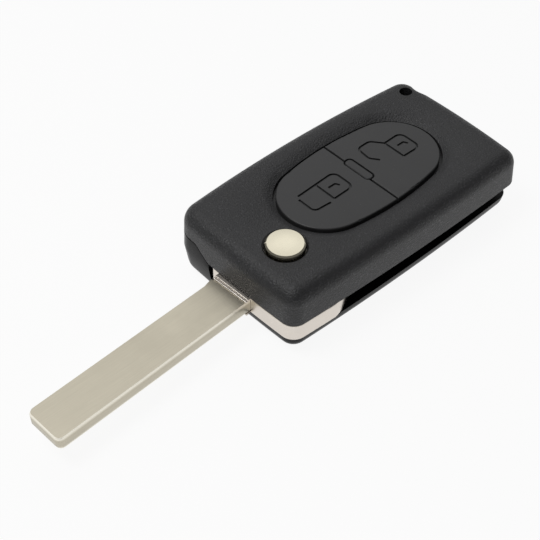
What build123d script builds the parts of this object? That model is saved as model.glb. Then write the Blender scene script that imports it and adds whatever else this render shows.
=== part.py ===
from build123d import *
import os
from math import atan2, cos, hypot, radians, sin, tan

os.makedirs("parts", exist_ok=True)

# The case lies on its flat back with its long axis along X. The open blade points to -X,
# the key ring corner is at +X, and the blade folds into the slot along the near side, at -Y.
# The origin is the middle of the flat back. All lengths are in millimetres.

# Case
case_length = 64.6
case_width = 36.4
case_height = 15.6
parting_height = 6.7  # joint of the two halves, above the flat back
side_bow = 1.35  # how far the long sides swell from the corners of the nose
nose_bow = 0.6  # how far the nose swells from its near corner
nose_slant = 0.3  # how much further out the far corner of the nose is
tail_bow = 0.4  # how far the tail swells from its far corner
tail_slant = 0.75  # how much further in the near corner of the tail is
tail_taper = 0.5  # how much the far side comes in at the tail
tail_flare = 1.1  # how much the near side goes out at the tail
lip_set_back = 0.5  # how far the back half comes in at the middle of the slot
far_nose_corner = 4.8
far_tail_corner = 3.9
seam_height = 0.25
seam_depth = 0.4
raise_start = 1.3  # from the end of the slot's nose cut to where the joint starts to climb
raise_slope = 33.0  # degrees
raise_top = 10.2  # height of the joint along the far side
top_round = 3.2
back_round = 3.2
top_draft = 3.0  # degrees
back_draft = 8.0  # degrees
wall = 1.6
floor_thickness = 1.5
roof_thickness = 1.9
inner_round = 0.9

# Slot for the folded blade, open at the near side, the nose and the tail
slot_bottom = 3.7
slot_top = 8.0
slot_depth = 13.4  # from the near side to the guide wall
guide_wall = 1.2
slot_rib = 1.0
slot_rib_count = 5
slot_rib_start = 3.0  # from the chamber to the first rib
slot_rib_from_tail = 5.3
slot_rib_drop = 0.2  # below the slot's lower edge
slot_rib_end_gap = 3.2  # from the near side

# Pivot of the blade
pivot_from_nose = 9.4
pivot_from_side = 13.0
open_angle = 2.8  # degrees between the open blade and the long axis of the case

# Key head: a plate round the pivot with a spring cup above it and a spigot below
head_radius = 12.3
head_far_end = 11.0  # from the pivot to the end of the head in the nose
head_gap = 0.15  # to the slot above and below, and behind the outline of the case
head_end_gap = 0.7
head_edge = 0.3
head_corner = 0.8
swing_gap = 0.45  # round the swinging corner of the head
chamber_wall = 1.0
cup_radius = 6.2
cup_bore = 4.75
cup_floor = 5.0
cup_top = 11.8
spigot_radius = 5.0
spigot_bottom = 2.0
bearing_top = 3.2
bearing_wall = 1.4
guide_ring_gap = 0.3  # between the slot's upper edge and the ring round the cup
running_fit = 0.08
spline_count = 6
spline_width = 1.7
spline_height = 0.7
spline_fit = 0.1
lip_length = 1.0
lip_step = 0.5
lip_drop = 0.22
lip_round = 0.2

# Blade and the roll pin that holds its tang
blade_width = 9.0
blade_thickness = 3.04
blade_reach = 54.8  # from the pivot to the tip
blade_offset = 4.6  # from the pivot to the middle line of the blade
blade_edge = 0.22  # width of the bevel on the flat faces
blade_edge_height = 0.5  # and on the sides
blade_tip_corner = 1.3
blade_seat = 1.0  # how far behind the nose the full width starts
blade_fit = 0.03
root_flare = 0.35
root_flare_end = 2.0  # beyond the nose
root_flare_ramp = 1.5
tang_width = 5.0
tang_thickness = 2.0
tang_end = 5.3  # from the pivot
tang_offset = 4.9
pin_radius = 0.75
pin_bore = 0.4
pin_slit = 0.3
pin_from_pivot = 6.9
pin_fit = 0.02

# Release button: a polished cap on a splined plunger
cap_radius = 3.87
cap_hole_gap = 0.3
cap_recess_width = 0.35
cap_recess_depth = 0.35
cap_top = 16.4
cap_dome = 0.3
cap_edge = 0.3
cap_crown = 0.8
neck_radius = 3.1
neck_fit = 0.03
plunger_radius = 4.6
plunger_bottom = 10.0
plunger_top_gap = 0.15
release_travel = 2.2

# Spring, its seat and the washer under the head
spring_wire = 0.6
spring_radius = 3.5
spring_turns = 3.0
spring_end_gap = 0.05
seat_thickness = 0.3
seat_radius = 4.4
seat_hole = 2.2
washer_thickness = 0.3

# Oval pad with its two buttons, in a shallow dish of the roof
pad_length = 38.6
pad_side_margin = 7.75  # from the sides of the case
pad_crown = 0.85  # how far the pad's long sides swell
pad_x = 2.3
pad_y = 0.3
pad_top = 15.1
pad_gap = 0.6
pad_edge = 0.3
dish_width = 1.9
dish_depth = 1.0
button_flange = 1.25
flange_thickness = 0.6
flange_gap = 0.2
button_gap = 0.3  # between the two buttons
button_travel = 0.8
press_gap = 0.1  # left under a pressed button
nub_radius = 1.4
nub_height = 0.4
nub_from_pad = 8.0  # from the middle of the pad
icon_line = 0.5
icon_depth = 0.4

# Bar between the buttons, on a bridge across the window
divider_x = 0.3  # from the middle of the pad
lozenge_length = 7.0
lozenge_width = 1.9
lozenge_x = 0.7  # from the middle of the pad
lozenge_y = 0.8
lozenge_gap = 0.3
lozenge_corner = 0.8
bridge_width = 2.8
bridge_thickness = 1.0
bridge_drop = 0.5  # below the roof
bridge_end = 1.8
bridge_side_gap = 0.25

# Tray with a pedestal and a silicone dome under each button
tray_thickness = 1.1
tray_gap = 0.4
post_gap = 0.35
pedestal_radius = 2.7
dome_height = 1.8
dome_base = 2.4
dome_crown = 1.6
dome_wall = 0.45
dome_rim = 0.4

# Screws from the back into brass inserts
side_screw_from_pivot = 19.0
side_screw_from_side = 5.8  # from the far side
tail_screw_from_tail = 5.8
tail_screw_from_pivot = 5.6  # to the far side
screw_head = 1.9
screw_head_height = 1.1
screw_shank = 0.95
screw_length = 9.2
screw_sunk = 0.25
screw_fit = 0.03
screw_clearance = 0.25
screw_tip_gap = 0.3
cross_length = 2.2
cross_width = 0.45
cross_depth = 0.6
boss_radius = 2.8
post_radius = 2.4
insert_radius = 1.55
insert_length = 3.2
insert_fit = 0.02

# Key ring hole in the far corner of the tail
ring_radius = 1.4
ring_from_tail = 4.5
ring_from_side = 6.6
ring_wall = 2.6
ring_skin = 1.6  # the block round the hole stays this far inside the outline
ring_relief_depth = 2.4
ring_relief_width = 5.4
ring_relief_shift = 1.1

# Cell seat with its contacts, and chip pocket
cell_from_tail = 18.6
cell_side_gap = 2.2  # to the guide wall and to the case's wall
cell_wall = 0.9
cell_wall_height = 2.6
contact_width = 3.6
contact_thickness = 0.25
contact_leaf = 2.7
contact_end_gap = 0.4  # between the ends of the two strips
contact_lift = 1.3
contact_tip = 0.9
contact_height = 3.6
contact_slot_gap = 0.2
chip_from_chamber = 6.5
chip_from_guide = 7.6
chip_length = 12.2
chip_width = 6.0
chip_wall = 0.8
chip_wall_height = 2.2

# Places worked out from the sizes above
nose_x = -case_length / 2
tail_x = case_length / 2
near_y = -case_width / 2
far_y = case_width / 2
pivot_x = nose_x + pivot_from_nose
pivot_y = near_y + pivot_from_side
roof_height = case_height - roof_thickness
pad_width = case_width - 2 * pad_side_margin
pad_end_radius = pad_width / 2 - pad_crown
blade_middle = (slot_bottom + slot_top) / 2
blade_bottom = blade_middle - blade_thickness / 2
head_bottom = slot_bottom + head_gap
head_top = slot_top - head_gap
head_height = head_top - head_bottom
chamber_radius = hypot(pivot_from_nose, head_far_end) + swing_gap
guide_y = near_y + slot_depth
plunger_top = roof_height - plunger_top_gap
crown_height = cap_top - cap_crown
button_bottom = roof_height - flange_gap - flange_thickness
flange_room = button_bottom - button_travel - press_gap
bridge_top = roof_height - bridge_drop
shelf_height = bridge_top + button_travel + press_gap
tray_top = slot_top + tray_thickness
pedestal_top = button_bottom - nub_height - dome_height
ring_x = tail_x - ring_from_tail
ring_y = far_y - ring_from_side

slot_rib_room = case_length - pivot_from_nose - chamber_radius - slot_rib_start - slot_rib_from_tail
slot_rib_pitch = slot_rib_room / (slot_rib_count - 1)
cell_radius = (case_width - slot_depth - guide_wall - wall) / 2 - cell_side_gap
cell_x = tail_x - cell_from_tail
cell_y = guide_y + guide_wall + cell_side_gap + cell_radius
contact_foot = cell_radius - contact_leaf - contact_end_gap / 2
chip_x = pivot_x + chamber_radius + chip_from_chamber
chip_y = guide_y + chip_from_guide + guide_wall + wall
screw_places = [
    (pivot_x + side_screw_from_pivot, far_y - side_screw_from_side),
    (tail_x - tail_screw_from_tail, pivot_y + tail_screw_from_pivot),
]

pivot_axis = Axis((pivot_x, pivot_y, 0), (0, 0, 1))
pivot_section = Plane(origin=(pivot_x, pivot_y, 0), x_dir=(1, 0, 0), z_dir=(0, -1, 0))
pivot_plane = Plane(origin=(pivot_x, pivot_y, 0))
pad_plane = Plane(origin=(pad_x, pad_y, 0))

# The blade's own frame: x runs along the blade to its tip, y to the near side
along_blade = (-cos(radians(open_angle)), -sin(radians(open_angle)), 0)
blade_plane = Plane(origin=(pivot_x, pivot_y, 0), x_dir=along_blade, z_dir=(0, 0, 1))

# Plan outline of the case, four bowed sides with round corners, smaller all round by an inset
def case_outline(inset, near_round=top_round, set_back=0):
    near_nose = (nose_x + nose_bow + inset, near_y + side_bow + inset)
    near_middle = (0, near_y + set_back + inset)
    tail_start = (tail_x - tail_bow - tail_slant - inset, near_y + side_bow - tail_flare + inset)
    far_tail = (tail_x - tail_bow - inset, far_y - side_bow - tail_taper - inset)
    far_nose = (nose_x + nose_bow - nose_slant + inset, far_y - side_bow - inset)
    with BuildSketch(mode=Mode.PRIVATE) as outline:
        with BuildLine():
            tail = ThreePointArc(tail_start, (tail_x - inset, 0), far_tail, mode=Mode.PRIVATE)
            near_tail = tail @ (2 * set_back / (far_tail[1] - tail_start[1]))
            ThreePointArc(near_nose, near_middle, near_tail)
            ThreePointArc(near_tail, (tail_x - inset, 0), far_tail)
            ThreePointArc(far_tail, (0, far_y - inset), far_nose)
            ThreePointArc(far_nose, (nose_x + inset, 0), near_nose)
        make_face()
        for corner, radius in (
            (far_nose, far_nose_corner),
            (far_tail, far_tail_corner),
            (near_nose, near_round),
            (near_tail, near_round),
        ):
            if radius > inset:
                fillet(outline.vertices().sort_by_distance(corner)[0], radius - inset)
    return outline.sketch


# The two upright edges at the near corners of a half that is still sharp there
def near_corners(half):
    upright = half.edges().filter_by(lambda edge: abs((edge @ 1 - edge @ 0).Z) > parting_height / 2)
    return upright.sort_by(Axis.Y)[:2]


sharp_plan = case_outline(0, near_round=0)
back_plan = case_outline(0, near_round=0, set_back=lip_set_back)
inner_plan = case_outline(wall)
tray_plan = case_outline(wall + tray_gap)
ring_limit = case_outline(ring_skin)
head_limit = case_outline(head_gap)


# Four-centred oval of the pad about its own middle, larger all round by a margin
def oval(margin):
    half_length = pad_length / 2 + margin
    half_width = pad_width / 2 + margin
    end_radius = pad_end_radius + margin
    end_x = half_length - end_radius
    side_radius = (end_x**2 + half_width**2 - end_radius**2) / (2 * (half_width - end_radius))
    slope = atan2(side_radius - half_width, end_x)
    touch_x = end_x + end_radius * cos(slope)
    touch_y = end_radius * sin(slope)
    with BuildSketch(mode=Mode.PRIVATE) as outline:
        with BuildLine():
            ThreePointArc((-touch_x, touch_y), (0, half_width), (touch_x, touch_y))
            ThreePointArc((touch_x, touch_y), (half_length, 0), (touch_x, -touch_y))
            ThreePointArc((touch_x, -touch_y), (0, -half_width), (-touch_x, -touch_y))
            ThreePointArc((-touch_x, -touch_y), (-half_length, 0), (-touch_x, touch_y))
        make_face()
    return outline.sketch


pad_outline = oval(0)
window_outline = oval(pad_gap)
dish_outline = oval(pad_gap + dish_width)
flange_outline = oval(button_flange)
flange_room_outline = oval(button_flange + flange_gap)

# Plan of the slot: the near side up to the guide wall, and the nose up to the end of the head
nose_cut_y = pivot_y + head_far_end + head_end_gap
with BuildSketch() as slot_plan:
    with Locations((0, guide_y)):
        Rectangle(2 * case_length, case_width, align=(Align.CENTER, Align.MAX))
    with Locations((nose_x, nose_cut_y)):
        Rectangle(2 * (wall + nose_bow), case_width, align=(Align.CENTER, Align.MAX))

# Plan of the guide wall along the slot and the round wall of the head's chamber
with BuildSketch() as guide_plan:
    with Locations((pivot_x, pivot_y)):
        Circle(chamber_radius + chamber_wall)
        Circle(chamber_radius, mode=Mode.SUBTRACT)
    with Locations((0, guide_y)):
        Rectangle(2 * case_length, case_width, align=(Align.CENTER, Align.MAX), mode=Mode.SUBTRACT)
    with Locations((pivot_x + chamber_radius, guide_y)):
        Rectangle(case_length, guide_wall, align=(Align.MIN, Align.MIN))

# Plan of the scallop in the tail that lets the key ring swing
with BuildSketch() as relief_plan:
    with Locations((tail_x, ring_y - ring_relief_shift)):
        Ellipse(ring_relief_depth, ring_relief_width / 2)

# The joint climbs to the far side: wall of the back half above the parting plane
raise_foot_y = nose_cut_y - raise_start
raise_run = (raise_top - parting_height) / tan(radians(raise_slope))
raise_head_y = raise_foot_y + raise_run
raise_end_x = ring_x - ring_radius - ring_wall - post_gap
upper_hollow = wall + (roof_height - parting_height) * tan(radians(top_draft))
with BuildPart() as raised_wall:
    with BuildSketch(Plane.XY.offset(parting_height)):
        add(sharp_plan)
    extrude(amount=case_height - parting_height, taper=top_draft)
    with BuildSketch(Plane.XY.offset(parting_height)):
        add(inner_plan)
    with BuildSketch(Plane.XY.offset(roof_height)):
        add(case_outline(upper_hollow))
    loft(ruled=True, mode=Mode.SUBTRACT)
    with BuildSketch(Plane.YZ):
        with BuildLine():
            Polyline(
                (raise_foot_y, parting_height),
                (far_y, parting_height),
                (far_y, raise_top),
                (raise_head_y, raise_top),
                close=True,
            )
        make_face()
    extrude(amount=case_length, both=True, mode=Mode.INTERSECT)
    with BuildSketch(Plane.XZ):
        with BuildLine():
            Polyline(
                (-case_length, parting_height),
                (raise_end_x, parting_height),
                (raise_end_x - raise_run, raise_top),
                (-case_length, raise_top),
                close=True,
            )
        make_face()
    extrude(amount=case_width, both=True, mode=Mode.INTERSECT)
    with BuildSketch(Plane.XY.offset(parting_height)):
        add(slot_plan.sketch)
    extrude(amount=slot_top - parting_height, mode=Mode.SUBTRACT)

# Groove that follows the joint on the outside
with BuildPart() as seam_groove:
    with BuildSketch(Plane.XY.offset(parting_height)):
        add(case_outline(-seam_depth))
        add(case_outline(seam_depth), mode=Mode.SUBTRACT)
    extrude(amount=raise_top)
    with BuildSketch(Plane.YZ):
        with BuildLine():
            Polyline(
                (2 * near_y, parting_height),
                (2 * far_y, parting_height),
                (2 * far_y, raise_top + seam_height),
                (raise_head_y, raise_top + seam_height),
                (raise_foot_y, parting_height + seam_height),
                (2 * near_y, parting_height + seam_height),
                close=True,
            )
        make_face()
    extrude(amount=case_length, both=True, mode=Mode.INTERSECT)
    with BuildSketch(Plane.XZ):
        with BuildLine():
            Polyline(
                (-case_length, parting_height),
                (case_length, parting_height),
                (case_length, parting_height + seam_height),
                (raise_end_x, parting_height + seam_height),
                (raise_end_x - raise_run, raise_top + seam_height),
                (-case_length, raise_top + seam_height),
                close=True,
            )
        make_face()
    extrude(amount=case_width, both=True, mode=Mode.INTERSECT)

# Upper half of the case
with BuildPart() as upper_case:
    with BuildSketch(Plane.XY.offset(parting_height)):
        add(sharp_plan)
    extrude(amount=case_height - parting_height, taper=top_draft)
    fillet(upper_case.faces().sort_by(Axis.Z)[-1].edges() + near_corners(upper_case), top_round)
    # Hollow
    with BuildSketch(Plane.XY.offset(parting_height)):
        add(inner_plan)
    with BuildSketch(Plane.XY.offset(roof_height)):
        add(case_outline(upper_hollow))
    loft(ruled=True, mode=Mode.SUBTRACT)
    # Ring that guides the cup of the head
    with BuildSketch(pivot_plane.offset(slot_top + guide_ring_gap)):
        Circle(cup_radius + running_fit + bearing_wall)
        Circle(cup_radius + running_fit, mode=Mode.SUBTRACT)
    extrude(amount=roof_height - slot_top - guide_ring_gap)
    # Screw posts and the block of the key ring hole
    with BuildSketch(Plane.XY.offset(parting_height)):
        with Locations(*screw_places):
            Circle(post_radius)
    extrude(amount=roof_height - parting_height)
    with BuildSketch(Plane.XY.offset(parting_height)):
        with Locations((ring_x, ring_y)):
            Circle(ring_radius + ring_wall)
        add(ring_limit, mode=Mode.INTERSECT)
    extrude(amount=roof_height - parting_height)
    # The lower edge steps up over the head and the slot
    with BuildSketch(Plane.XY.offset(parting_height)):
        add(slot_plan.sketch)
    extrude(amount=slot_top - parting_height, mode=Mode.SUBTRACT)
    # Room for the raised wall of the back half, and the groove along the joint
    add(raised_wall.part, mode=Mode.SUBTRACT)
    add(seam_groove.part, mode=Mode.SUBTRACT)
    # Dish, window of the pad and room for the button flanges
    with BuildSketch(pad_plane.offset(case_height)):
        add(dish_outline)
    with BuildSketch(pad_plane.offset(case_height - dish_depth)):
        add(window_outline)
    loft(mode=Mode.SUBTRACT)
    with BuildSketch(pad_plane.offset(roof_height)):
        add(window_outline)
    extrude(amount=roof_thickness, mode=Mode.SUBTRACT)
    with BuildSketch(pad_plane.offset(flange_room)):
        add(flange_room_outline)
    extrude(amount=roof_height - flange_room, mode=Mode.SUBTRACT)
    # Hole of the release cap
    with BuildSketch(pivot_plane.offset(roof_height)):
        Circle(cap_radius + cap_hole_gap)
    extrude(amount=roof_thickness, mode=Mode.SUBTRACT)
    with BuildSketch(pivot_plane.offset(case_height - cap_recess_depth)):
        Circle(cap_radius + cap_hole_gap)
    with BuildSketch(pivot_plane.offset(case_height)):
        Circle(cap_radius + cap_hole_gap + cap_recess_width)
    loft(mode=Mode.SUBTRACT)
    # Holes for the inserts and for the screw tips above them
    with BuildSketch(Plane.XY.offset(parting_height)):
        with Locations(*screw_places):
            Circle(insert_radius + insert_fit)
    extrude(amount=insert_length, mode=Mode.SUBTRACT)
    with BuildSketch(Plane.XY.offset(parting_height)):
        with Locations(*screw_places):
            Circle(screw_shank + insert_fit)
    extrude(amount=screw_sunk + screw_length + screw_tip_gap - parting_height, mode=Mode.SUBTRACT)
    # Key ring hole and scallop
    with BuildSketch(Plane.XY.offset(parting_height)):
        with Locations((ring_x, ring_y)):
            Circle(ring_radius)
        add(relief_plan.sketch)
    extrude(amount=case_height, mode=Mode.SUBTRACT)
upper_case.part.label = "upper_case"
export_step(upper_case.part, "parts/upper_case.step")

# Back half of the case
with BuildPart() as lower_case:
    with BuildSketch(Plane.XY.offset(parting_height)):
        add(back_plan)
    extrude(amount=-parting_height, taper=back_draft)
    fillet(lower_case.faces().sort_by(Axis.Z)[0].edges() + near_corners(lower_case), back_round)
    # Hollow with round inner edges
    back_hollow = wall + (parting_height - floor_thickness) * tan(radians(back_draft))
    with BuildSketch(Plane.XY.offset(parting_height)):
        add(case_outline(wall, near_round=wall + inner_round, set_back=lip_set_back))
    with BuildSketch(Plane.XY.offset(floor_thickness)):
        add(case_outline(back_hollow, near_round=back_hollow + inner_round, set_back=lip_set_back))
    loft(ruled=True, mode=Mode.SUBTRACT)
    inner_floor = lower_case.faces().filter_by(Axis.Z).sort_by(Axis.Z)[1]
    fillet(inner_floor.edges(), inner_round)
    # Raised wall along the far side
    add(raised_wall.part)
    # Screw bosses, block of the key ring hole, guide wall and chamber wall
    with BuildSketch(Plane.XY.offset(floor_thickness)):
        with Locations(*screw_places):
            Circle(boss_radius)
    extrude(amount=parting_height - floor_thickness)
    with BuildSketch(Plane.XY.offset(floor_thickness)):
        with Locations((ring_x, ring_y)):
            Circle(ring_radius + ring_wall)
        add(ring_limit, mode=Mode.INTERSECT)
    extrude(amount=parting_height - floor_thickness)
    with BuildSketch(Plane.XY.offset(floor_thickness)):
        add(guide_plan.sketch)
        add(ring_limit, mode=Mode.INTERSECT)
    extrude(amount=parting_height - floor_thickness)
    with BuildSketch(Plane.XY.offset(parting_height)):
        add(guide_plan.sketch)
        add(tray_plan, mode=Mode.INTERSECT)
        with Locations(*screw_places):
            Circle(post_radius + post_gap, mode=Mode.SUBTRACT)
    extrude(amount=slot_top - parting_height)
    # Bearing of the head, ring of the cell seat and walls of the chip pocket
    with BuildSketch(pivot_plane.offset(floor_thickness)):
        Circle(spigot_radius + running_fit + bearing_wall)
    extrude(amount=bearing_top - floor_thickness)
    with BuildSketch(Plane.XY.offset(floor_thickness)):
        with Locations((cell_x, cell_y)):
            Circle(cell_radius + cell_wall)
            Circle(cell_radius, mode=Mode.SUBTRACT)
            Rectangle(contact_width + 2 * contact_slot_gap, 4 * cell_radius, mode=Mode.SUBTRACT)
    extrude(amount=cell_wall_height)
    with BuildSketch(Plane.XY.offset(floor_thickness)):
        with Locations((chip_x, chip_y)):
            Rectangle(chip_width + 2 * chip_wall, chip_length + 2 * chip_wall)
            Rectangle(chip_width, chip_length, mode=Mode.SUBTRACT)
    extrude(amount=chip_wall_height)
    # The walls come down to the slot's lower edge, and ribs cross the floor under the folded blade
    with BuildSketch(Plane.XY.offset(slot_bottom)):
        add(slot_plan.sketch)
    extrude(amount=slot_top, mode=Mode.SUBTRACT)
    for number in range(slot_rib_count):
        rib_x = pivot_x + chamber_radius + slot_rib_start + number * slot_rib_pitch
        with BuildSketch(Plane.XY.offset(floor_thickness)):
            with Locations((rib_x, guide_y)):
                Rectangle(slot_rib, slot_depth - slot_rib_end_gap, align=(Align.CENTER, Align.MAX))
        extrude(amount=slot_bottom - slot_rib_drop - floor_thickness)
    # Bearing pocket
    with BuildSketch(pivot_plane.offset(floor_thickness)):
        Circle(spigot_radius + running_fit)
    extrude(amount=bearing_top, mode=Mode.SUBTRACT)
    # Countersunk screw holes
    with BuildSketch():
        with Locations(*screw_places):
            Circle(screw_head + screw_clearance)
    extrude(amount=screw_sunk, mode=Mode.SUBTRACT)
    for place in screw_places:
        with BuildSketch(Plane.XY.offset(screw_sunk)):
            with Locations(place):
                Circle(screw_head + screw_fit)
        with BuildSketch(Plane.XY.offset(screw_sunk + screw_head_height)):
            with Locations(place):
                Circle(screw_shank + screw_fit)
        loft(mode=Mode.SUBTRACT)
    with BuildSketch(Plane.XY.offset(screw_sunk + screw_head_height)):
        with Locations(*screw_places):
            Circle(screw_shank + screw_clearance)
    extrude(amount=parting_height, mode=Mode.SUBTRACT)
    # Key ring hole and scallop
    with BuildSketch(Plane.XY):
        with Locations((ring_x, ring_y)):
            Circle(ring_radius)
        add(relief_plan.sketch)
    extrude(amount=case_height, mode=Mode.SUBTRACT)
lower_case.part.label = "lower_case"
export_step(lower_case.part, "parts/lower_case.step")

# Key head: plate, cup, spigot and the stepped lips over and under the blade's root
lip_end = pivot_from_nose + lip_length
lip_section = Plane(
    origin=(
        pivot_x - blade_offset * sin(radians(open_angle)),
        pivot_y + blade_offset * cos(radians(open_angle)),
        0,
    ),
    x_dir=along_blade,
    z_dir=(along_blade[1], -along_blade[0], 0),
)
with BuildPart() as key_head:
    with BuildSketch(Plane.XY.offset(head_bottom)):
        with Locations((pivot_x, pivot_y)):
            Circle(head_radius)
        with Locations((nose_x, near_y)):
            Rectangle(pivot_from_nose, pivot_from_side + head_far_end, align=(Align.MIN, Align.MIN))
        add(head_limit, mode=Mode.INTERSECT)
    extrude(amount=head_height)
    far_end_edges = key_head.edges().filter_by(Axis.Z).group_by(Axis.Y)[-1]
    fillet(far_end_edges.sort_by(Axis.X)[0], head_corner)
    fillet(key_head.faces().sort_by(Axis.Z)[-1].edges(), head_edge)
    fillet(key_head.faces().sort_by(Axis.Z)[0].edges(), head_edge)
    with BuildSketch(pivot_plane.offset(head_top)):
        Circle(cup_radius)
    extrude(amount=cup_top - head_top)
    with BuildSketch(pivot_plane.offset(spigot_bottom)):
        Circle(spigot_radius)
    extrude(amount=head_bottom - spigot_bottom)
    with BuildSketch(lip_section) as lip_profile:
        with Locations((pin_from_pivot, head_bottom)):
            Rectangle(lip_end - pin_from_pivot, head_height - lip_drop, align=(Align.MIN, Align.MIN))
            Rectangle(lip_end - lip_step - pin_from_pivot, head_height, align=(Align.MIN, Align.MIN))
        fillet(lip_profile.vertices().group_by(Axis.X)[-1], lip_round)
        fillet(lip_profile.vertices().group_by(Axis.Y)[-1].sort_by(Axis.X)[-1], lip_round)
    extrude(amount=blade_width / 2, both=True)
    # Spring bore with grooves for the plunger's splines
    with BuildSketch(pivot_plane.offset(cup_floor)):
        Circle(cup_bore)
    extrude(amount=cup_top - cup_floor, mode=Mode.SUBTRACT)
    with BuildSketch(pivot_plane.offset(plunger_bottom - release_travel - press_gap)):
        with PolarLocations(plunger_radius, spline_count):
            Rectangle(2 * (spline_height + spline_fit), spline_width + 2 * spline_fit)
    extrude(amount=cup_top, mode=Mode.SUBTRACT)
    # Seat of the blade, slot of its tang and hole of the roll pin
    with BuildSketch(blade_plane.offset(blade_bottom - blade_fit)):
        with Locations((pivot_from_nose - blade_seat - blade_fit, -blade_offset)):
            Rectangle(2 * blade_width, blade_width + 2 * blade_fit, align=(Align.MIN, Align.CENTER))
    extrude(amount=blade_thickness + 2 * blade_fit, mode=Mode.SUBTRACT)
    with BuildSketch(blade_plane.offset(blade_middle - tang_thickness / 2 - blade_fit)):
        with Locations((tang_end - blade_fit, -tang_offset)):
            Rectangle(blade_width, tang_width + 2 * blade_fit, align=(Align.MIN, Align.CENTER))
    extrude(amount=tang_thickness + 2 * blade_fit, mode=Mode.SUBTRACT)
    with BuildSketch(blade_plane.offset(head_bottom)):
        with Locations((pin_from_pivot, -tang_offset)):
            Circle(pin_radius + pin_fit)
    extrude(amount=head_height, mode=Mode.SUBTRACT)
key_head.part.label = "key_head"
export_step(key_head.part, "parts/key_head.step")

# Plain blade with a chamfer all round, a small flare at its root and a tang with the pin hole
root_x = pivot_from_nose - blade_seat
flare_x = pivot_from_nose + root_flare_end
far_edge_y = -blade_offset - blade_width / 2
with BuildPart() as blade:
    with BuildSketch(blade_plane.offset(blade_bottom)) as blade_outline:
        with Locations((root_x, -blade_offset)):
            Rectangle(blade_reach - root_x, blade_width, align=(Align.MIN, Align.CENTER))
        fillet(blade_outline.vertices().group_by(Axis.X)[-1], blade_tip_corner)
        with BuildLine():
            Polyline(
                (lip_end, far_edge_y),
                (lip_end, far_edge_y - root_flare),
                (flare_x, far_edge_y - root_flare),
                (flare_x + root_flare_ramp, far_edge_y),
                close=True,
            )
        make_face()
    extrude(amount=blade_thickness)
    for face in blade.faces().filter_by(Axis.Z):
        chamfer(face.edges(), blade_edge, blade_edge_height, reference=face)
    with BuildSketch(blade_plane.offset(blade_middle - tang_thickness / 2)):
        with Locations((tang_end, -tang_offset)):
            Rectangle(root_x - tang_end + blade_seat, tang_width, align=(Align.MIN, Align.CENTER))
        with Locations((pin_from_pivot, -tang_offset)):
            Circle(pin_radius + pin_fit, mode=Mode.SUBTRACT)
    extrude(amount=tang_thickness)
blade.part.label = "blade"
export_step(blade.part, "parts/blade.step")

# Slotted roll pin
with BuildPart() as blade_pin:
    with BuildSketch(blade_plane.offset(head_bottom)):
        with Locations((pin_from_pivot, -tang_offset)):
            Circle(pin_radius)
            Circle(pin_bore, mode=Mode.SUBTRACT)
            Rectangle(pin_radius, pin_slit, align=(Align.MIN, Align.CENTER), mode=Mode.SUBTRACT)
    extrude(amount=head_height)
blade_pin.part.label = "blade_pin"
export_step(blade_pin.part, "parts/blade_pin.step")

# Domed cap of the release button
with BuildPart() as release_cap:
    with BuildSketch(pivot_section):
        with BuildLine():
            Polyline(
                (0, cap_top + cap_dome),
                (0, crown_height),
                (neck_radius + neck_fit, crown_height),
                (neck_radius + neck_fit, plunger_top),
                (cap_radius, plunger_top),
                (cap_radius, cap_top - cap_edge),
                (cap_radius - cap_edge, cap_top),
            )
            TangentArc((0, cap_top + cap_dome), (cap_radius - cap_edge, cap_top), tangent=(1, 0))
        make_face()
    revolve(axis=pivot_axis)
release_cap.part.label = "release_cap"
export_step(release_cap.part, "parts/release_cap.step")

# Splined plunger under the cap
with BuildPart() as release_plunger:
    with BuildSketch(pivot_plane.offset(plunger_bottom)):
        Circle(plunger_radius)
        with PolarLocations(plunger_radius, spline_count):
            Rectangle(2 * spline_height, spline_width)
    extrude(amount=plunger_top - plunger_bottom)
    with BuildSketch(pivot_plane.offset(plunger_top)):
        Circle(neck_radius)
    extrude(amount=crown_height - plunger_top)
release_plunger.part.label = "release_plunger"
export_step(release_plunger.part, "parts/release_plunger.step")

# Steel seat of the spring
with BuildPart() as spring_seat:
    with BuildSketch(pivot_plane.offset(cup_floor)):
        Circle(seat_radius)
        Circle(seat_hole, mode=Mode.SUBTRACT)
    extrude(amount=seat_thickness)
spring_seat.part.label = "spring_seat"
export_step(spring_seat.part, "parts/spring_seat.step")

# Coil spring between its seat and the plunger
coil_start = cup_floor + seat_thickness + spring_end_gap + spring_wire / 2
coil_height = plunger_bottom - spring_end_gap - spring_wire / 2 - coil_start
with BuildPart() as return_spring:
    with BuildLine(pivot_plane.offset(coil_start)) as coil:
        Helix(pitch=coil_height / spring_turns, height=coil_height, radius=spring_radius)
    with BuildSketch(Plane(origin=coil.line @ 0, z_dir=coil.line % 0)):
        Circle(spring_wire / 2)
    sweep(is_frenet=True)
return_spring.part.label = "return_spring"
export_step(return_spring.part, "parts/return_spring.step")

# Washer between the head and its bearing
with BuildPart() as thrust_washer:
    with BuildSketch(pivot_plane.offset(bearing_top)):
        Circle(spigot_radius + running_fit + bearing_wall)
        Circle(spigot_radius + running_fit, mode=Mode.SUBTRACT)
    extrude(amount=washer_thickness)
thrust_washer.part.label = "thrust_washer"
export_step(thrust_washer.part, "parts/thrust_washer.step")

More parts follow.
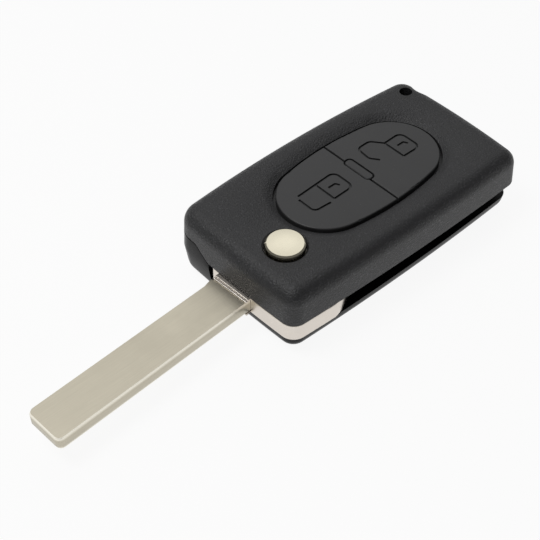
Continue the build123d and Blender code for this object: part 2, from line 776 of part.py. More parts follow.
# Grooves of the padlock signs, about the middle of the pad: body, shackle and keyhole
closed_body = [(-13.9, 3.1), (-3.7, 3.55), (-3.7, -2.0), (-9.0, -2.1)]
closed_shackle = [(-14.4, 2.3), (-14.4, -2.1), (-10.2, -2.4)]
closed_bar = [(-9.0, -2.1), (-9.0, 3.2)]
closed_keyhole = [(-7.7, 0.9), (-5.9, 0.9), (-5.4, 0.0)]
open_body = [(10.3, 2.9), (15.0, 3.0), (15.0, -2.6), (10.3, -2.5)]
open_shackle = [(10.3, 2.9), (8.3, 5.4), (4.9, 5.4), (4.5, 1.8), (5.9, -0.1)]
open_bar = [(10.3, -2.5), (10.3, 2.9)]
open_keyhole = [(11.7, 0.6), (13.4, 0.6), (13.9, -0.3)]
body_corner = 1.4
shackle_corner = 1.2
keyhole_corner = 0.3


# The two buttons: halves of the pad with a flange below, a nub, and a sign in the top
lozenge_plane = pad_plane.offset(pad_top)
for name, side, body, shackle, bar, keyhole in (
    ("lock_button", -1, closed_body, closed_shackle, closed_bar, closed_keyhole),
    ("unlock_button", 1, open_body, open_shackle, open_bar, open_keyhole),
):
    half = (Align.MIN if side > 0 else Align.MAX, Align.CENTER)
    edge_x = divider_x + side * button_gap / 2
    shelf_x = divider_x + side * (bridge_width / 2 + bridge_side_gap)
    with BuildPart() as button:
        with BuildSketch(pad_plane.offset(button_bottom)):
            add(flange_outline)
            with Locations((shelf_x, 0)):
                Rectangle(pad_length, 2 * pad_width, align=half, mode=Mode.INTERSECT)
        extrude(amount=flange_thickness)
        with BuildSketch(pad_plane.offset(button_bottom)):
            add(pad_outline)
            with Locations((shelf_x, 0)):
                Rectangle(pad_length, 2 * pad_width, align=half, mode=Mode.INTERSECT)
        extrude(amount=shelf_height - button_bottom)
        with BuildSketch(pad_plane.offset(shelf_height)):
            add(pad_outline)
            with Locations((edge_x, 0)):
                Rectangle(pad_length, 2 * pad_width, align=half, mode=Mode.INTERSECT)
        extrude(amount=pad_top - shelf_height)
        fillet(button.faces().sort_by(Axis.Z)[-1].edges(), pad_edge)
        with BuildSketch(pad_plane.offset(shelf_height)):
            with Locations((lozenge_x, lozenge_y)):
                RectangleRounded(
                    lozenge_width + 2 * lozenge_gap,
                    lozenge_length + 2 * lozenge_gap,
                    lozenge_corner + lozenge_gap,
                )
        extrude(amount=pad_top - shelf_height, mode=Mode.SUBTRACT)
        with BuildSketch(pad_plane.offset(button_bottom - nub_height)):
            with Locations((side * nub_from_pad, 0)):
                Circle(nub_radius)
        extrude(amount=nub_height)
        # Sign
        with BuildSketch(lozenge_plane):
            with BuildLine():
                FilletPolyline(*body, radius=body_corner)
            trace(line_width=icon_line)
            with BuildLine():
                Polyline(*bar)
            trace(line_width=icon_line)
            with BuildLine():
                FilletPolyline(*shackle, radius=shackle_corner)
            trace(line_width=icon_line)
            with BuildLine():
                FilletPolyline(*keyhole, radius=keyhole_corner)
            trace(line_width=icon_line)
        extrude(amount=-icon_depth, mode=Mode.SUBTRACT)
    button.part.label = name
    export_step(button.part, f"parts/{name}.step")

# Bar between the buttons with the bridge that carries it
with BuildPart() as button_divider:
    bridge_length = pad_width + 2 * (button_flange + flange_gap + bridge_end)
    with BuildSketch(pad_plane.offset(bridge_top - bridge_thickness)):
        with Locations((divider_x, 0)):
            Rectangle(bridge_width, bridge_length)
    extrude(amount=bridge_thickness)
    with BuildSketch(pad_plane.offset(bridge_top)):
        with Locations((divider_x, 0)):
            Rectangle(bridge_width, bridge_length)
            Rectangle(bridge_width, bridge_length - 2 * bridge_end, mode=Mode.SUBTRACT)
    extrude(amount=bridge_drop)
    with BuildSketch(pad_plane.offset(bridge_top)):
        with Locations((lozenge_x, lozenge_y)):
            RectangleRounded(lozenge_width, lozenge_length, lozenge_corner)
    extrude(amount=pad_top - bridge_top)
    chamfer(button_divider.faces().sort_by(Axis.Z)[-1].edges(), pad_edge / 2)
button_divider.part.label = "button_divider"
export_step(button_divider.part, "parts/button_divider.step")

# Tray on the guide wall, with a pedestal under each button
with BuildPart() as board_tray:
    with BuildSketch(Plane.XY.offset(slot_top)):
        add(tray_plan)
        with Locations((pivot_x, pivot_y)):
            Circle(chamber_radius, mode=Mode.SUBTRACT)
        with Locations((pivot_x, pivot_y)):
            Rectangle(
                2 * chamber_radius, 4 * chamber_radius, align=(Align.MAX, Align.CENTER), mode=Mode.SUBTRACT
            )
        with Locations(*screw_places):
            Circle(post_radius + post_gap, mode=Mode.SUBTRACT)
        with Locations((ring_x, ring_y)):
            Circle(ring_radius + ring_wall + post_gap, mode=Mode.SUBTRACT)
    extrude(amount=tray_thickness)
    with BuildSketch(pad_plane.offset(tray_top)):
        with Locations((-nub_from_pad, 0), (nub_from_pad, 0)):
            Circle(pedestal_radius)
    extrude(amount=pedestal_top - tray_top)
board_tray.part.label = "board_tray"
export_step(board_tray.part, "parts/board_tray.step")

# Silicone dome under each nub
for name, side in (("lock_dome", -1), ("unlock_dome", 1)):
    dome_plane = Plane(
        origin=(pad_x + side * nub_from_pad, pad_y, pedestal_top), x_dir=(1, 0, 0), z_dir=(0, -1, 0)
    )
    with BuildPart() as dome:
        with BuildSketch(dome_plane):
            with BuildLine():
                Polyline(
                    (0, dome_height),
                    (dome_crown, dome_height),
                    (dome_base, dome_rim),
                    (dome_base, 0),
                    (dome_base - dome_wall, 0),
                    (dome_base - dome_wall, dome_rim - dome_wall / 2),
                    (dome_crown - dome_wall / 2, dome_height - dome_wall),
                    (0, dome_height - dome_wall),
                    close=True,
                )
            make_face()
        revolve(axis=Axis((pad_x + side * nub_from_pad, pad_y, 0), (0, 0, 1)))
    dome.part.label = name
    export_step(dome.part, f"parts/{name}.step")

# Folded contact strips at the two sides of the cell seat
for name, side in (("battery_contact_base", -1), ("battery_contact_side", 1)):
    foot_y = cell_y + side * (cell_radius - contact_foot)
    strip_plane = Plane(origin=(cell_x, foot_y, floor_thickness), x_dir=(0, side, 0), z_dir=(side, 0, 0))
    with BuildPart() as contact:
        with BuildSketch(strip_plane):
            with BuildLine():
                Polyline(
                    (-contact_leaf, contact_lift),
                    (-contact_tip, contact_thickness / 2),
                    (contact_foot, contact_thickness / 2),
                    (contact_foot, contact_height),
                )
            trace(line_width=contact_thickness)
        extrude(amount=contact_width / 2, both=True)
    contact.part.label = name
    export_step(contact.part, f"parts/{name}.step")

# Countersunk screws with a cross recess
with BuildPart() as case_screws:
    for place in screw_places:
        with BuildSketch(Plane.XY.offset(screw_sunk)):
            with Locations(place):
                Circle(screw_head)
        with BuildSketch(Plane.XY.offset(screw_sunk + screw_head_height)):
            with Locations(place):
                Circle(screw_shank)
        loft()
    with BuildSketch(Plane.XY.offset(screw_sunk + screw_head_height)):
        with Locations(*screw_places):
            Circle(screw_shank)
    extrude(amount=screw_length - screw_head_height)
    with BuildSketch(Plane.XY.offset(screw_sunk)):
        with Locations(*screw_places):
            Rectangle(cross_length, cross_width)
            Rectangle(cross_width, cross_length)
    extrude(amount=cross_depth, mode=Mode.SUBTRACT)
case_screws.part.label = "case_screws"
export_step(case_screws.part, "parts/case_screws.step")

# Brass inserts
with BuildPart() as screw_inserts:
    with BuildSketch(Plane.XY.offset(parting_height)):
        with Locations(*screw_places):
            Circle(insert_radius)
            Circle(screw_shank + insert_fit, mode=Mode.SUBTRACT)
    extrude(amount=insert_length)
screw_inserts.part.label = "screw_inserts"
export_step(screw_inserts.part, "parts/screw_inserts.step")
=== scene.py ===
from math import cos, radians, sin

import bpy
import numpy as np
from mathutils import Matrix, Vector

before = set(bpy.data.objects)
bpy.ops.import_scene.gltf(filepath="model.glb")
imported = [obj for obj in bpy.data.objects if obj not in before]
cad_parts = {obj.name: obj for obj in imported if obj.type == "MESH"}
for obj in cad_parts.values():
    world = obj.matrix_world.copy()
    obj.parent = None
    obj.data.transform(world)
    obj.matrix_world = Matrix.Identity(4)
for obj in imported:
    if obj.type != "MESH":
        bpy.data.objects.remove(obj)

bl_info = {
    "name": "Flip key remote shell",
    "version": (1, 0, 0),
    "blender": (4, 5, 0),
    "location": "3D View > Sidebar > Flip Key",
    "description": "Finishes a flip key remote shell and sets up its studio",
    "category": "Object",
}

SENSOR_WIDTH = 36  # millimetres
PHOTO_WIDTH = 540  # pixels
PHOTO_FOCUS = 1165.1  # focal length fitted to the photograph, in its pixels
TABLE_SIZE = 6.0
TABLE_GAP = 0.00002  # keeps the table's top clear of the flat back
TABLE_GLOW = 0.92  # share of plain white in what the camera and mirrors see of the table
MAIN_LIGHT_PLACE = (-125, 66, 0.45)  # azimuth and elevation in degrees, distance in metres
MAIN_LIGHT_SIZE = 0.20  # side of the square light
SOFT_BOX_PLACE = (138, 46.5)  # azimuth and elevation in degrees
SOFT_BOX_FOCUS = 5.0  # a larger value gives a narrower soft box
BEVEL_RISE = (0.22, 0.75)  # upright part of the normal where a bevel starts and where it ends
BLADE_TURN = radians(-2.8)  # sets the drawn lines along the open blade
SMOOTH_ANGLE = radians(32)  # faces that meet at less than this are shaded as one surface
PLACE_STEPS = 1e7  # corners in the same ten-millionth of a metre count as one
SMALLEST = 1e-20  # keeps a division by zero out
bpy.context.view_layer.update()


# Settings
class FlipKeyFinishes(bpy.types.PropertyGroup):
    case_colour: bpy.props.FloatVectorProperty(
        name="Case", description="Textured plastic of the upper half", subtype="COLOR",
        size=3, min=0, max=1, default=(0.016, 0.016, 0.0175))
    back_colour: bpy.props.FloatVectorProperty(
        name="Back", description="Smooth plastic of the back half", subtype="COLOR",
        size=3, min=0, max=1, default=(0.004, 0.004, 0.0045))
    pad_colour: bpy.props.FloatVectorProperty(
        name="Pad", description="Rubber of the two buttons", subtype="COLOR",
        size=3, min=0, max=1, default=(0.036, 0.036, 0.037))
    head_colour: bpy.props.FloatVectorProperty(
        name="Head", description="Satin nickel of the key head", subtype="COLOR",
        size=3, min=0, max=1, default=(0.80, 0.74, 0.67))
    blade_colour: bpy.props.FloatVectorProperty(
        name="Blade", description="Nickel plating of the blade", subtype="COLOR",
        size=3, min=0, max=1, default=(0.68, 0.63, 0.51))
    cap_colour: bpy.props.FloatVectorProperty(
        name="Cap", description="Polished chrome of the release button", subtype="COLOR",
        size=3, min=0, max=1, default=(0.94, 0.88, 0.70))
    grain_size: bpy.props.FloatProperty(
        name="Grain size", description="Size of the moulded spark grain of the case",
        subtype="DISTANCE", min=0.0001, max=0.002, default=0.00032)
    grain_depth: bpy.props.FloatProperty(
        name="Grain depth", description="Depth of the moulded spark grain of the case",
        subtype="DISTANCE", min=0, max=0.0002, default=0.00014)


class FlipKeyStudio(bpy.types.PropertyGroup):
    azimuth: bpy.props.FloatProperty(
        name="Azimuth", description="Direction of the camera round the key",
        subtype="ANGLE", default=radians(-42.1879))
    elevation: bpy.props.FloatProperty(
        name="Elevation", description="Height angle of the camera above the table",
        subtype="ANGLE", default=radians(46.5181))
    distance: bpy.props.FloatProperty(
        name="Distance", description="From the camera to the point it looks at",
        subtype="DISTANCE", default=0.2244)
    lens: bpy.props.FloatProperty(
        name="Lens", description="Focal length on a 36 mm wide sensor",
        subtype="DISTANCE_CAMERA", default=SENSOR_WIDTH * PHOTO_FOCUS / PHOTO_WIDTH)
    target: bpy.props.FloatVectorProperty(
        name="Target", description="Point that the camera looks at", subtype="TRANSLATION",
        unit="LENGTH", default=(-0.024443, -0.002617, 0.008))
    soft_box: bpy.props.FloatProperty(
        name="Soft box", description="Brightness of the wide soft box that level faces mirror",
        min=0, max=5, default=0.95)
    room: bpy.props.FloatProperty(
        name="Room", description="Brightness of the room round the soft box",
        min=0, max=5, default=0.12)
    main_watts: bpy.props.FloatProperty(
        name="Main light", description="Power of the high light beyond the blade, on the far side",
        subtype="POWER", min=0, max=100, default=0.8)


# Shader groups
def new_group(name, inputs, outputs):
    group = bpy.data.node_groups.new(name, "ShaderNodeTree")
    for label, kind, value in inputs:
        socket = group.interface.new_socket(name=label, in_out="INPUT", socket_type=kind)
        socket.default_value = value
    for label, kind in outputs:
        group.interface.new_socket(name=label, in_out="OUTPUT", socket_type=kind)
    return group, group.nodes.new("NodeGroupInput"), group.nodes.new("NodeGroupOutput")


def add_node(tree, kind, values=None, **settings):
    node = tree.nodes.new(kind)
    for key, value in settings.items():
        setattr(node, key, value)
    for key, value in (values or {}).items():
        node.inputs[key].default_value = value
    return node


def math_node(tree, operation, first, second):
    node = add_node(tree, "ShaderNodeMath", operation=operation)
    for socket, value in zip(node.inputs, (first, second)):
        if isinstance(value, (int, float)):
            socket.default_value = value
        else:
            tree.links.new(value, socket)
    return node.outputs[0]


def mix_colours(tree, mask, first, second):
    node = add_node(tree, "ShaderNodeMix", data_type="RGBA")
    for socket, value in ((node.inputs[0], mask), (node.inputs[6], first), (node.inputs[7], second)):
        if hasattr(value, "links"):
            tree.links.new(value, socket)
        else:
            socket.default_value = value
    return node.outputs[2]


def spark_grain_group():
    """Fine grain of spark-eroded mould steel: a height, a mask of grain peaks for painted glints and gloss,
    and a soft cloud.
    """
    group, start, end = new_group(
        "Spark grain",
        [("Grain size", "NodeSocketFloat", 0.0003)],
        [("Height", "NodeSocketFloat"), ("Sparkle", "NodeSocketFloat"), ("Cloud", "NodeSocketFloat")],
    )
    where = add_node(group, "ShaderNodeTexCoord")
    scale = math_node(group, "DIVIDE", 1.0, start.outputs["Grain size"])
    cells = add_node(group, "ShaderNodeTexVoronoi", {"Randomness": 1.0}, feature="SMOOTH_F1")
    cells.inputs["Smoothness"].default_value = 0.6
    group.links.new(where.outputs["Object"], cells.inputs["Vector"])
    group.links.new(scale, cells.inputs["Scale"])
    fine = add_node(group, "ShaderNodeTexNoise", {"Detail": 3.0, "Roughness": 0.6})
    group.links.new(where.outputs["Object"], fine.inputs["Vector"])
    group.links.new(math_node(group, "MULTIPLY", scale, 0.9), fine.inputs["Scale"])
    coarse = math_node(group, "MULTIPLY", cells.outputs["Distance"], 0.55)
    height = math_node(group, "ADD", coarse, fine.outputs["Fac"])
    group.links.new(height, end.inputs["Height"])
    peak = add_node(group, "ShaderNodeMapRange", {"From Min": 0.56, "From Max": 0.72})
    group.links.new(fine.outputs["Fac"], peak.inputs["Value"])
    group.links.new(peak.outputs["Result"], end.inputs["Sparkle"])
    cloud = add_node(group, "ShaderNodeTexNoise", {"Scale": 90.0, "Detail": 2.0})
    group.links.new(where.outputs["Object"], cloud.inputs["Vector"])
    group.links.new(cloud.outputs["Fac"], end.inputs["Cloud"])
    return group


def drawn_lines_group():
    """Fine lines left by drawing, grinding or polishing, along X before the turn, with faint stains."""
    group, start, end = new_group(
        "Drawn lines",
        [("Line size", "NodeSocketFloat", 0.0002), ("Turn", "NodeSocketFloat", 0.0)],
        [("Height", "NodeSocketFloat"), ("Streak", "NodeSocketFloat"), ("Stain", "NodeSocketFloat")],
    )
    where = add_node(group, "ShaderNodeTexCoord")
    turn = add_node(group, "ShaderNodeCombineXYZ")
    group.links.new(start.outputs["Turn"], turn.inputs["Z"])
    place = add_node(group, "ShaderNodeMapping")
    group.links.new(where.outputs["Object"], place.inputs["Vector"])
    group.links.new(turn.outputs["Vector"], place.inputs["Rotation"])
    place.inputs["Scale"].default_value = (0.03, 1.0, 1.0)
    lines = add_node(group, "ShaderNodeTexNoise", {"Detail": 4.0, "Roughness": 0.65})
    group.links.new(place.outputs["Vector"], lines.inputs["Vector"])
    group.links.new(math_node(group, "DIVIDE", 1.0, start.outputs["Line size"]), lines.inputs["Scale"])
    group.links.new(lines.outputs["Fac"], end.inputs["Height"])
    streak = add_node(group, "ShaderNodeMapRange", {"From Min": 0.3, "From Max": 0.7})
    group.links.new(lines.outputs["Fac"], streak.inputs["Value"])
    group.links.new(streak.outputs["Result"], end.inputs["Streak"])
    stain = add_node(group, "ShaderNodeTexNoise", {"Scale": 140.0, "Detail": 3.0, "Roughness": 0.55})
    group.links.new(where.outputs["Object"], stain.inputs["Vector"])
    group.links.new(stain.outputs["Fac"], end.inputs["Stain"])
    return group


def bevel_light_group():
    """Masks of a flat bar from its shape: the slanted bevels along its edges, and its upright sides."""
    group, start, end = new_group(
        "Bevel light masks",
        [("Softness", "NodeSocketFloat", 0.08)],
        [("Bevel", "NodeSocketFloat"), ("Side", "NodeSocketFloat")],
    )
    facing = group.nodes.new("ShaderNodeSeparateXYZ")
    group.links.new(group.nodes.new("ShaderNodeTexCoord").outputs["Normal"], facing.inputs[0])
    rise = math_node(group, "ABSOLUTE", facing.outputs["Z"], 0.0)
    steps = []
    for middle in BEVEL_RISE:
        step = group.nodes.new("ShaderNodeMapRange")
        group.links.new(rise, step.inputs["Value"])
        softness = start.outputs["Softness"]
        group.links.new(math_node(group, "SUBTRACT", middle, softness), step.inputs["From Min"])
        group.links.new(math_node(group, "ADD", middle, softness), step.inputs["From Max"])
        steps.append(step.outputs["Result"])
    group.links.new(math_node(group, "SUBTRACT", steps[0], steps[1]), end.inputs["Bevel"])
    group.links.new(math_node(group, "SUBTRACT", 1.0, steps[0]), end.inputs["Side"])
    return group


def fine_haze_group():
    """Faint unevenness of a smooth moulded surface, with a few dust specks."""
    group, start, end = new_group(
        "Fine haze",
        [("Haze size", "NodeSocketFloat", 0.002)],
        [("Height", "NodeSocketFloat"), ("Haze", "NodeSocketFloat"), ("Dust", "NodeSocketFloat")],
    )
    where = add_node(group, "ShaderNodeTexCoord")
    haze = add_node(group, "ShaderNodeTexNoise", {"Detail": 4.0, "Roughness": 0.6})
    group.links.new(where.outputs["Object"], haze.inputs["Vector"])
    group.links.new(math_node(group, "DIVIDE", 1.0, start.outputs["Haze size"]), haze.inputs["Scale"])
    group.links.new(haze.outputs["Fac"], end.inputs["Haze"])
    ripple = add_node(group, "ShaderNodeTexNoise", {"Scale": 2600.0, "Detail": 2.0})
    group.links.new(where.outputs["Object"], ripple.inputs["Vector"])
    group.links.new(ripple.outputs["Fac"], end.inputs["Height"])
    specks = add_node(group, "ShaderNodeTexVoronoi", {"Scale": 700.0, "Randomness": 1.0})
    group.links.new(where.outputs["Object"], specks.inputs["Vector"])
    dust = add_node(group, "ShaderNodeMapRange", {"From Min": 0.10, "From Max": 0.06})
    group.links.new(specks.outputs["Distance"], dust.inputs["Value"])
    group.links.new(dust.outputs["Result"], end.inputs["Dust"])
    return group


# Materials
def new_material(name, colour, roughness, metallic=0.0, specular=0.5):
    material = bpy.data.materials.new(name)
    material.use_nodes = True
    shader = material.node_tree.nodes["Principled BSDF"]
    shader.inputs["Base Color"].default_value = (*colour, 1)
    shader.inputs["Roughness"].default_value = roughness
    shader.inputs["Metallic"].default_value = metallic
    shader.inputs["Specular IOR Level"].default_value = specular
    return material, material.node_tree, shader


def place_group(tree, group, **values):
    node = tree.nodes.new("ShaderNodeGroup")
    node.node_tree = group
    for key, value in values.items():
        node.inputs[key.replace("_", " ")].default_value = value
    return node


def link_bump(tree, shader, height, distance):
    bump = add_node(tree, "ShaderNodeBump", {"Distance": distance, "Strength": 1.0})
    tree.links.new(height, bump.inputs["Height"])
    tree.links.new(bump.outputs["Normal"], shader.inputs["Normal"])


def link_range(tree, value, socket, low, high):
    span = add_node(tree, "ShaderNodeMapRange", {"To Min": low, "To Max": high})
    tree.links.new(value, span.inputs["Value"])
    tree.links.new(span.outputs["Result"], socket)


def shaded(colour, factor):
    return (*(min(1.0, part * factor) for part in colour), 1)


def textured_plastic(name, colour, group, grain_size, grain_depth):
    material, tree, shader = new_material(name, colour, 0.45, specular=0.6)
    grain = place_group(tree, group, Grain_size=grain_size)
    # glint is a painted glint: grain peaks get a much lighter colour that stands in for highlights on the
    # grain
    dark, light, glint = (shaded(colour, factor) for factor in (0.88, 1.12, 3.2))
    cloud = mix_colours(tree, grain.outputs["Cloud"], dark, light)
    painted_glints = mix_colours(tree, grain.outputs["Sparkle"], cloud, glint)
    tree.links.new(painted_glints, shader.inputs["Base Color"])
    link_range(tree, grain.outputs["Sparkle"], shader.inputs["Roughness"], 0.50, 0.26)
    link_bump(tree, shader, grain.outputs["Height"], grain_depth)
    return material


def smooth_plastic(name, colour, group, roughness, haze_size=0.003, dust=1.6, specular=0.5):
    material, tree, shader = new_material(name, colour, roughness, specular=specular)
    haze = place_group(tree, group, Haze_size=haze_size)
    dark, light = shaded(colour, 0.9), shaded(colour, 1.1)
    clean = mix_colours(tree, haze.outputs["Haze"], dark, light)
    dusty = mix_colours(tree, haze.outputs["Dust"], clean, shaded(colour, dust))
    tree.links.new(dusty, shader.inputs["Base Color"])
    link_range(tree, haze.outputs["Haze"], shader.inputs["Roughness"], roughness * 0.85, roughness * 1.2)
    link_bump(tree, shader, haze.outputs["Height"], distance=0.000004)
    return material


def plated_metal(name, colour, group, roughness, line_size, turn=0.0, depth=0.000004, contrast=0.10):
    material, tree, shader = new_material(name, colour, roughness, metallic=1.0)
    drawn = place_group(tree, group, Line_size=line_size, Turn=turn)
    dark, light, stain = (shaded(colour, factor) for factor in (1 - contrast, 1 + contrast / 2, 0.84))
    streaked = mix_colours(tree, drawn.outputs["Streak"], dark, light)
    stained = mix_colours(tree, drawn.outputs["Stain"], streaked, stain)
    tree.links.new(stained, shader.inputs["Base Color"])
    link_range(tree, drawn.outputs["Stain"], shader.inputs["Roughness"], roughness * 0.8, roughness * 1.25)
    link_bump(tree, shader, drawn.outputs["Height"], depth)
    return material


def paint_bevel_light(material, group, side_shade_level, bevel_highlight):
    """Paints highlights on the bevels of a plated bar and painted shade on its upright sides."""
    tree = material.node_tree
    shader = tree.nodes["Principled BSDF"]
    masks = place_group(tree, group)
    plated = shader.inputs["Base Color"].links[0].from_socket
    side = math_node(tree, "MULTIPLY", masks.outputs["Side"], 1 - side_shade_level)
    # painted shade: the upright sides are mixed a little towards near black
    side_shade_colour = (0.05, 0.05, 0.05, 1)
    side_shaded = mix_colours(tree, side, plated, side_shade_colour)
    # painted highlight: the slanted bevels take a pale colour
    bevel_highlighted = mix_colours(tree, masks.outputs["Bevel"], side_shaded, (*bevel_highlight, 1))
    tree.links.new(bevel_highlighted, shader.inputs["Base Color"])
    return material


def finish_nodes(material, *names):
    """Gives carried-over nodes their material and soft shading between nearly flush faces."""
    for name in names:
        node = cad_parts[name]
        node.data.materials.clear()
        node.data.materials.append(material)
        smooth_node(node)


def smooth_node(node):
    """Shades a node's loose triangles smoothly wherever neighbours are nearly flush."""
    mesh = node.data
    count = len(mesh.loops)
    corners = np.empty(count, dtype=np.int32)
    mesh.loops.foreach_get("vertex_index", corners)
    places = np.empty(len(mesh.vertices) * 3)
    mesh.vertices.foreach_get("co", places)
    places = places.reshape(-1, 3)
    triangles = corners.reshape(-1, 3)
    sides = places[triangles]
    normals = np.cross(sides[:, 1] - sides[:, 0], sides[:, 2] - sides[:, 0])
    lengths = np.linalg.norm(normals, axis=1, keepdims=True)
    units = normals / np.maximum(lengths, SMALLEST)
    wedges = np.empty((len(triangles), 3))
    for corner in range(3):
        first = sides[:, (corner + 1) % 3] - sides[:, corner]
        second = sides[:, (corner + 2) % 3] - sides[:, corner]
        spans = np.linalg.norm(first, axis=1) * np.linalg.norm(second, axis=1)
        cosines = (first * second).sum(1) / np.maximum(spans, SMALLEST)
        wedges[:, corner] = np.arccos(np.clip(cosines, -1, 1))
    keys = np.round(places * PLACE_STEPS).astype(np.int64)
    _, merged = np.unique(keys, axis=0, return_inverse=True)
    shared = merged.reshape(-1)[corners]
    faces = np.repeat(np.arange(len(triangles)), 3)
    order = np.argsort(shared, kind="stable")
    starts = np.flatnonzero(np.r_[True, np.diff(shared[order]) > 0])
    stops = np.r_[starts[1:], count]
    result = np.empty((count, 3))
    limit = cos(SMOOTH_ANGLE)
    flat_wedges = wedges.reshape(-1)
    for start, stop in zip(starts, stops):
        group = order[start:stop]
        around = units[faces[group]]
        weights = flat_wedges[group]
        close = (around @ around.T) > limit
        result[group] = (close * weights) @ around
    result /= np.maximum(np.linalg.norm(result, axis=1, keepdims=True), SMALLEST)
    mesh.polygons.foreach_set("use_smooth", np.ones(len(mesh.polygons), dtype=bool))
    mesh.normals_split_custom_set(result.tolist())


# Operators
class FLIPKEY_OT_case(bpy.types.Operator):
    """Finish the two halves of the case"""
    bl_idname = "flipkey.case"
    bl_label = "Case"

    def execute(self, context):
        look = context.scene.flip_key_finishes
        grain = bpy.data.node_groups["Spark grain"]
        haze = bpy.data.node_groups["Fine haze"]
        finish_nodes(
            textured_plastic(
                "Spark textured black plastic", look.case_colour, grain, look.grain_size, look.grain_depth),
            "upper_case")
        finish_nodes(
            smooth_plastic("Glossy black plastic", look.back_colour, haze, roughness=0.26, specular=0.08),
            "lower_case")
        return {"FINISHED"}


class FLIPKEY_OT_pad(bpy.types.Operator):
    """Finish the two buttons and the bar between them"""
    bl_idname = "flipkey.pad"
    bl_label = "Pad"

    def execute(self, context):
        look = context.scene.flip_key_finishes
        haze = bpy.data.node_groups["Fine haze"]
        finish_nodes(
            smooth_plastic("Satin black rubber", look.pad_colour, haze, roughness=0.42, haze_size=0.004),
            "lock_button", "unlock_button", "button_divider")
        return {"FINISHED"}


class FLIPKEY_OT_key(bpy.types.Operator):
    """Finish the key head, the blade and its pin"""
    bl_idname = "flipkey.key"
    bl_label = "Key"

    def execute(self, context):
        look = context.scene.flip_key_finishes
        lines = bpy.data.node_groups["Drawn lines"]
        finish_nodes(
            plated_metal(
                "Satin nickel casting", look.head_colour, lines, roughness=0.30, line_size=0.00030,
                depth=0.000001, contrast=0.05),
            "key_head")
        plated = plated_metal(
            "Nickel plated blade", look.blade_colour, lines, roughness=0.34, line_size=0.00022,
            turn=BLADE_TURN)
        bevels = bpy.data.node_groups["Bevel light masks"]
        # painted highlights on the blade's bevels and painted shade on its upright sides
        finish_nodes(
            paint_bevel_light(plated, bevels, side_shade_level=0.84, bevel_highlight=(0.93, 0.89, 0.78)),
            "blade")
        finish_nodes(
            plated_metal(
                "Spring steel pin", (0.55, 0.55, 0.56), lines, roughness=0.35, line_size=0.0002),
            "blade_pin")
        return {"FINISHED"}


class FLIPKEY_OT_release(bpy.types.Operator):
    """Finish the release button, its plunger and its spring"""
    bl_idname = "flipkey.release"
    bl_label = "Release button"

    def execute(self, context):
        look = context.scene.flip_key_finishes
        lines = bpy.data.node_groups["Drawn lines"]
        haze = bpy.data.node_groups["Fine haze"]
        finish_nodes(
            plated_metal(
                "Polished chrome", look.cap_colour, lines, roughness=0.07, line_size=0.0006,
                depth=0.0000005, contrast=0.02),
            "release_cap")
        finish_nodes(
            smooth_plastic("Natural acetal", (0.78, 0.77, 0.72), haze, roughness=0.35, dust=0.8),
            "release_plunger", "thrust_washer")
        finish_nodes(
            plated_metal(
                "Drawn spring wire", (0.58, 0.58, 0.58), lines, roughness=0.3, line_size=0.0001),
            "return_spring", "spring_seat")
        return {"FINISHED"}


class FLIPKEY_OT_inside(bpy.types.Operator):
    """Finish the tray, domes, contacts, screws and inserts"""
    bl_idname = "flipkey.inside"
    bl_label = "Inner parts"

    def execute(self, context):
        lines = bpy.data.node_groups["Drawn lines"]
        haze = bpy.data.node_groups["Fine haze"]
        grain = bpy.data.node_groups["Spark grain"]
        finish_nodes(
            textured_plastic(
                "Dark tray plastic", (0.05, 0.05, 0.055), grain, grain_size=0.0005, grain_depth=0.00002),
            "board_tray")
        finish_nodes(
            smooth_plastic("White silicone", (0.75, 0.75, 0.72), haze, roughness=0.5, dust=0.8),
            "lock_dome", "unlock_dome")
        finish_nodes(
            plated_metal(
                "Nickel plated strip", (0.72, 0.70, 0.64), lines, roughness=0.25, line_size=0.00015,
                turn=radians(90)),
            "battery_contact_base", "battery_contact_side")
        finish_nodes(
            plated_metal(
                "Dark zinc screw", (0.20, 0.20, 0.21), lines, roughness=0.4, line_size=0.0001),
            "case_screws")
        finish_nodes(
            plated_metal("Turned brass", (0.72, 0.52, 0.24), lines, roughness=0.3, line_size=0.0001),
            "screw_inserts")
        return {"FINISHED"}


class FLIPKEY_OT_stage(bpy.types.Operator):
    """Set up the white table, the room, the main light and the camera"""
    bl_idname = "flipkey.stage"
    bl_label = "Studio"

    def execute(self, context):
        studio = context.scene.flip_key_studio
        make_table()
        make_room(context.scene, studio.soft_box, studio.room)
        target = Vector(studio.target)
        add_light("Main light", target, MAIN_LIGHT_PLACE, MAIN_LIGHT_SIZE, studio.main_watts)
        add_camera(context.scene, studio)
        context.scene.view_settings.view_transform = "Standard"
        return {"FINISHED"}


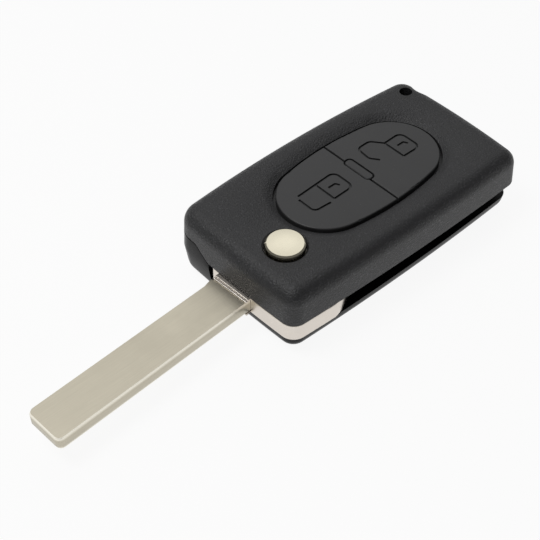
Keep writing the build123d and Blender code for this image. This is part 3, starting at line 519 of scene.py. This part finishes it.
def make_table():
    """A pale table, near white for the camera and mirrors, with the shadow kept and no underside."""
    bpy.ops.object.select_all(action="DESELECT")
    bpy.ops.mesh.primitive_plane_add(size=TABLE_SIZE, location=(0, 0, -TABLE_GAP))
    table = bpy.context.active_object
    table.name = "table"
    material = bpy.data.materials.new("White table")
    material.use_nodes = True
    tree = material.node_tree
    shader = tree.nodes["Principled BSDF"]
    shader.inputs["Base Color"].default_value = (0.95, 0.95, 0.95, 1)
    shader.inputs["Roughness"].default_value = 0.9
    path = tree.nodes.new("ShaderNodeLightPath")
    seen = math_node(tree, "MAXIMUM", path.outputs["Is Camera Ray"], path.outputs["Is Glossy Ray"])
    seen = math_node(tree, "MAXIMUM", seen, path.outputs["Is Transmission Ray"])
    glow = add_node(tree, "ShaderNodeEmission", {"Color": (1, 1, 1, 1), "Strength": 1.0})
    mix = tree.nodes.new("ShaderNodeMixShader")
    tree.links.new(math_node(tree, "MULTIPLY", seen, TABLE_GLOW), mix.inputs[0])
    tree.links.new(shader.outputs[0], mix.inputs[1])
    tree.links.new(glow.outputs[0], mix.inputs[2])
    below = tree.nodes.new("ShaderNodeMixShader")
    tree.links.new(tree.nodes.new("ShaderNodeNewGeometry").outputs["Backfacing"], below.inputs[0])
    tree.links.new(mix.outputs[0], below.inputs[1])
    tree.links.new(tree.nodes.new("ShaderNodeBsdfTransparent").outputs[0], below.inputs[2])
    tree.links.new(below.outputs[0], tree.nodes["Material Output"].inputs["Surface"])
    table.data.materials.append(material)


def make_room(scene, soft_box, dimmer):
    """A dim room with one wide soft box behind the key, white where the camera sees it."""
    world = bpy.data.worlds.new("Room")
    world.use_nodes = True
    scene.world = world
    tree = world.node_tree
    room = tree.nodes["Background"]
    room.inputs["Color"].default_value = (1, 1, 1, 1)
    towards = add_node(tree, "ShaderNodeVectorMath", operation="DOT_PRODUCT")
    azimuth, elevation = SOFT_BOX_PLACE
    towards.inputs[1].default_value = direction(radians(azimuth), radians(elevation))
    tree.links.new(tree.nodes.new("ShaderNodeTexCoord").outputs["Generated"], towards.inputs[0])
    ahead = math_node(tree, "MAXIMUM", towards.outputs["Value"], 0.0)
    shape = math_node(tree, "POWER", ahead, SOFT_BOX_FOCUS)
    glow = math_node(tree, "MULTIPLY", shape, soft_box - dimmer)
    tree.links.new(math_node(tree, "ADD", glow, dimmer), room.inputs["Strength"])
    white = add_node(tree, "ShaderNodeBackground", {"Color": (1, 1, 1, 1), "Strength": 1.0})
    path = tree.nodes.new("ShaderNodeLightPath")
    mix = tree.nodes.new("ShaderNodeMixShader")
    tree.links.new(path.outputs["Is Camera Ray"], mix.inputs[0])
    tree.links.new(room.outputs[0], mix.inputs[1])
    tree.links.new(white.outputs[0], mix.inputs[2])
    tree.links.new(mix.outputs[0], tree.nodes["World Output"].inputs["Surface"])


def direction(azimuth, elevation):
    return Vector((sin(azimuth) * cos(elevation), -cos(azimuth) * cos(elevation), sin(elevation)))


def add_light(name, target, place, size, watts):
    azimuth, elevation, distance = place
    lamp = bpy.data.lights.new(name, "AREA")
    lamp.shape = "SQUARE"
    lamp.size = size
    lamp.energy = watts
    light = bpy.data.objects.new(name, lamp)
    bpy.context.scene.collection.objects.link(light)
    towards = direction(radians(azimuth), radians(elevation))
    light.location = target + towards * distance
    light.rotation_euler = towards.to_track_quat("Z", "Y").to_euler()


def add_camera(scene, studio):
    data = bpy.data.cameras.new("Camera")
    data.sensor_width = SENSOR_WIDTH
    data.lens = studio.lens
    data.clip_start, data.clip_end = 0.01, 20
    camera = bpy.data.objects.new("Camera", data)
    scene.collection.objects.link(camera)
    towards = direction(studio.azimuth, studio.elevation)
    camera.location = Vector(studio.target) + towards * studio.distance
    camera.rotation_mode = "QUATERNION"
    camera.rotation_quaternion = towards.to_track_quat("Z", "Y")
    scene.camera = camera


# Panel and registration
OPERATORS = (
    FLIPKEY_OT_case, FLIPKEY_OT_pad, FLIPKEY_OT_key,
    FLIPKEY_OT_release, FLIPKEY_OT_inside, FLIPKEY_OT_stage,
)


class FLIPKEY_PT_panel(bpy.types.Panel):
    bl_label = "Flip key"
    bl_idname = "FLIPKEY_PT_panel"
    bl_space_type = "VIEW_3D"
    bl_region_type = "UI"
    bl_category = "Flip Key"

    def draw(self, context):
        layout = self.layout
        for settings in (context.scene.flip_key_finishes, context.scene.flip_key_studio):
            column = layout.column(align=True)
            for name in settings.__annotations__:
                column.prop(settings, name)
        for operator in OPERATORS:
            layout.operator(operator.bl_idname)


CLASSES = (FlipKeyFinishes, FlipKeyStudio, *OPERATORS, FLIPKEY_PT_panel)


def register():
    for item in CLASSES:
        bpy.utils.register_class(item)
    bpy.types.Scene.flip_key_finishes = bpy.props.PointerProperty(type=FlipKeyFinishes)
    bpy.types.Scene.flip_key_studio = bpy.props.PointerProperty(type=FlipKeyStudio)


def unregister():
    del bpy.types.Scene.flip_key_studio
    del bpy.types.Scene.flip_key_finishes
    for item in reversed(CLASSES):
        bpy.utils.unregister_class(item)


def main():
    register()
    for make_group in (spark_grain_group, drawn_lines_group, bevel_light_group, fine_haze_group):
        make_group()
    bpy.ops.flipkey.case()
    bpy.ops.flipkey.pad()
    bpy.ops.flipkey.key()
    bpy.ops.flipkey.release()
    bpy.ops.flipkey.inside()
    bpy.ops.flipkey.stage()
    bpy.context.view_layer.update()


if __name__ == "__main__":
    main()
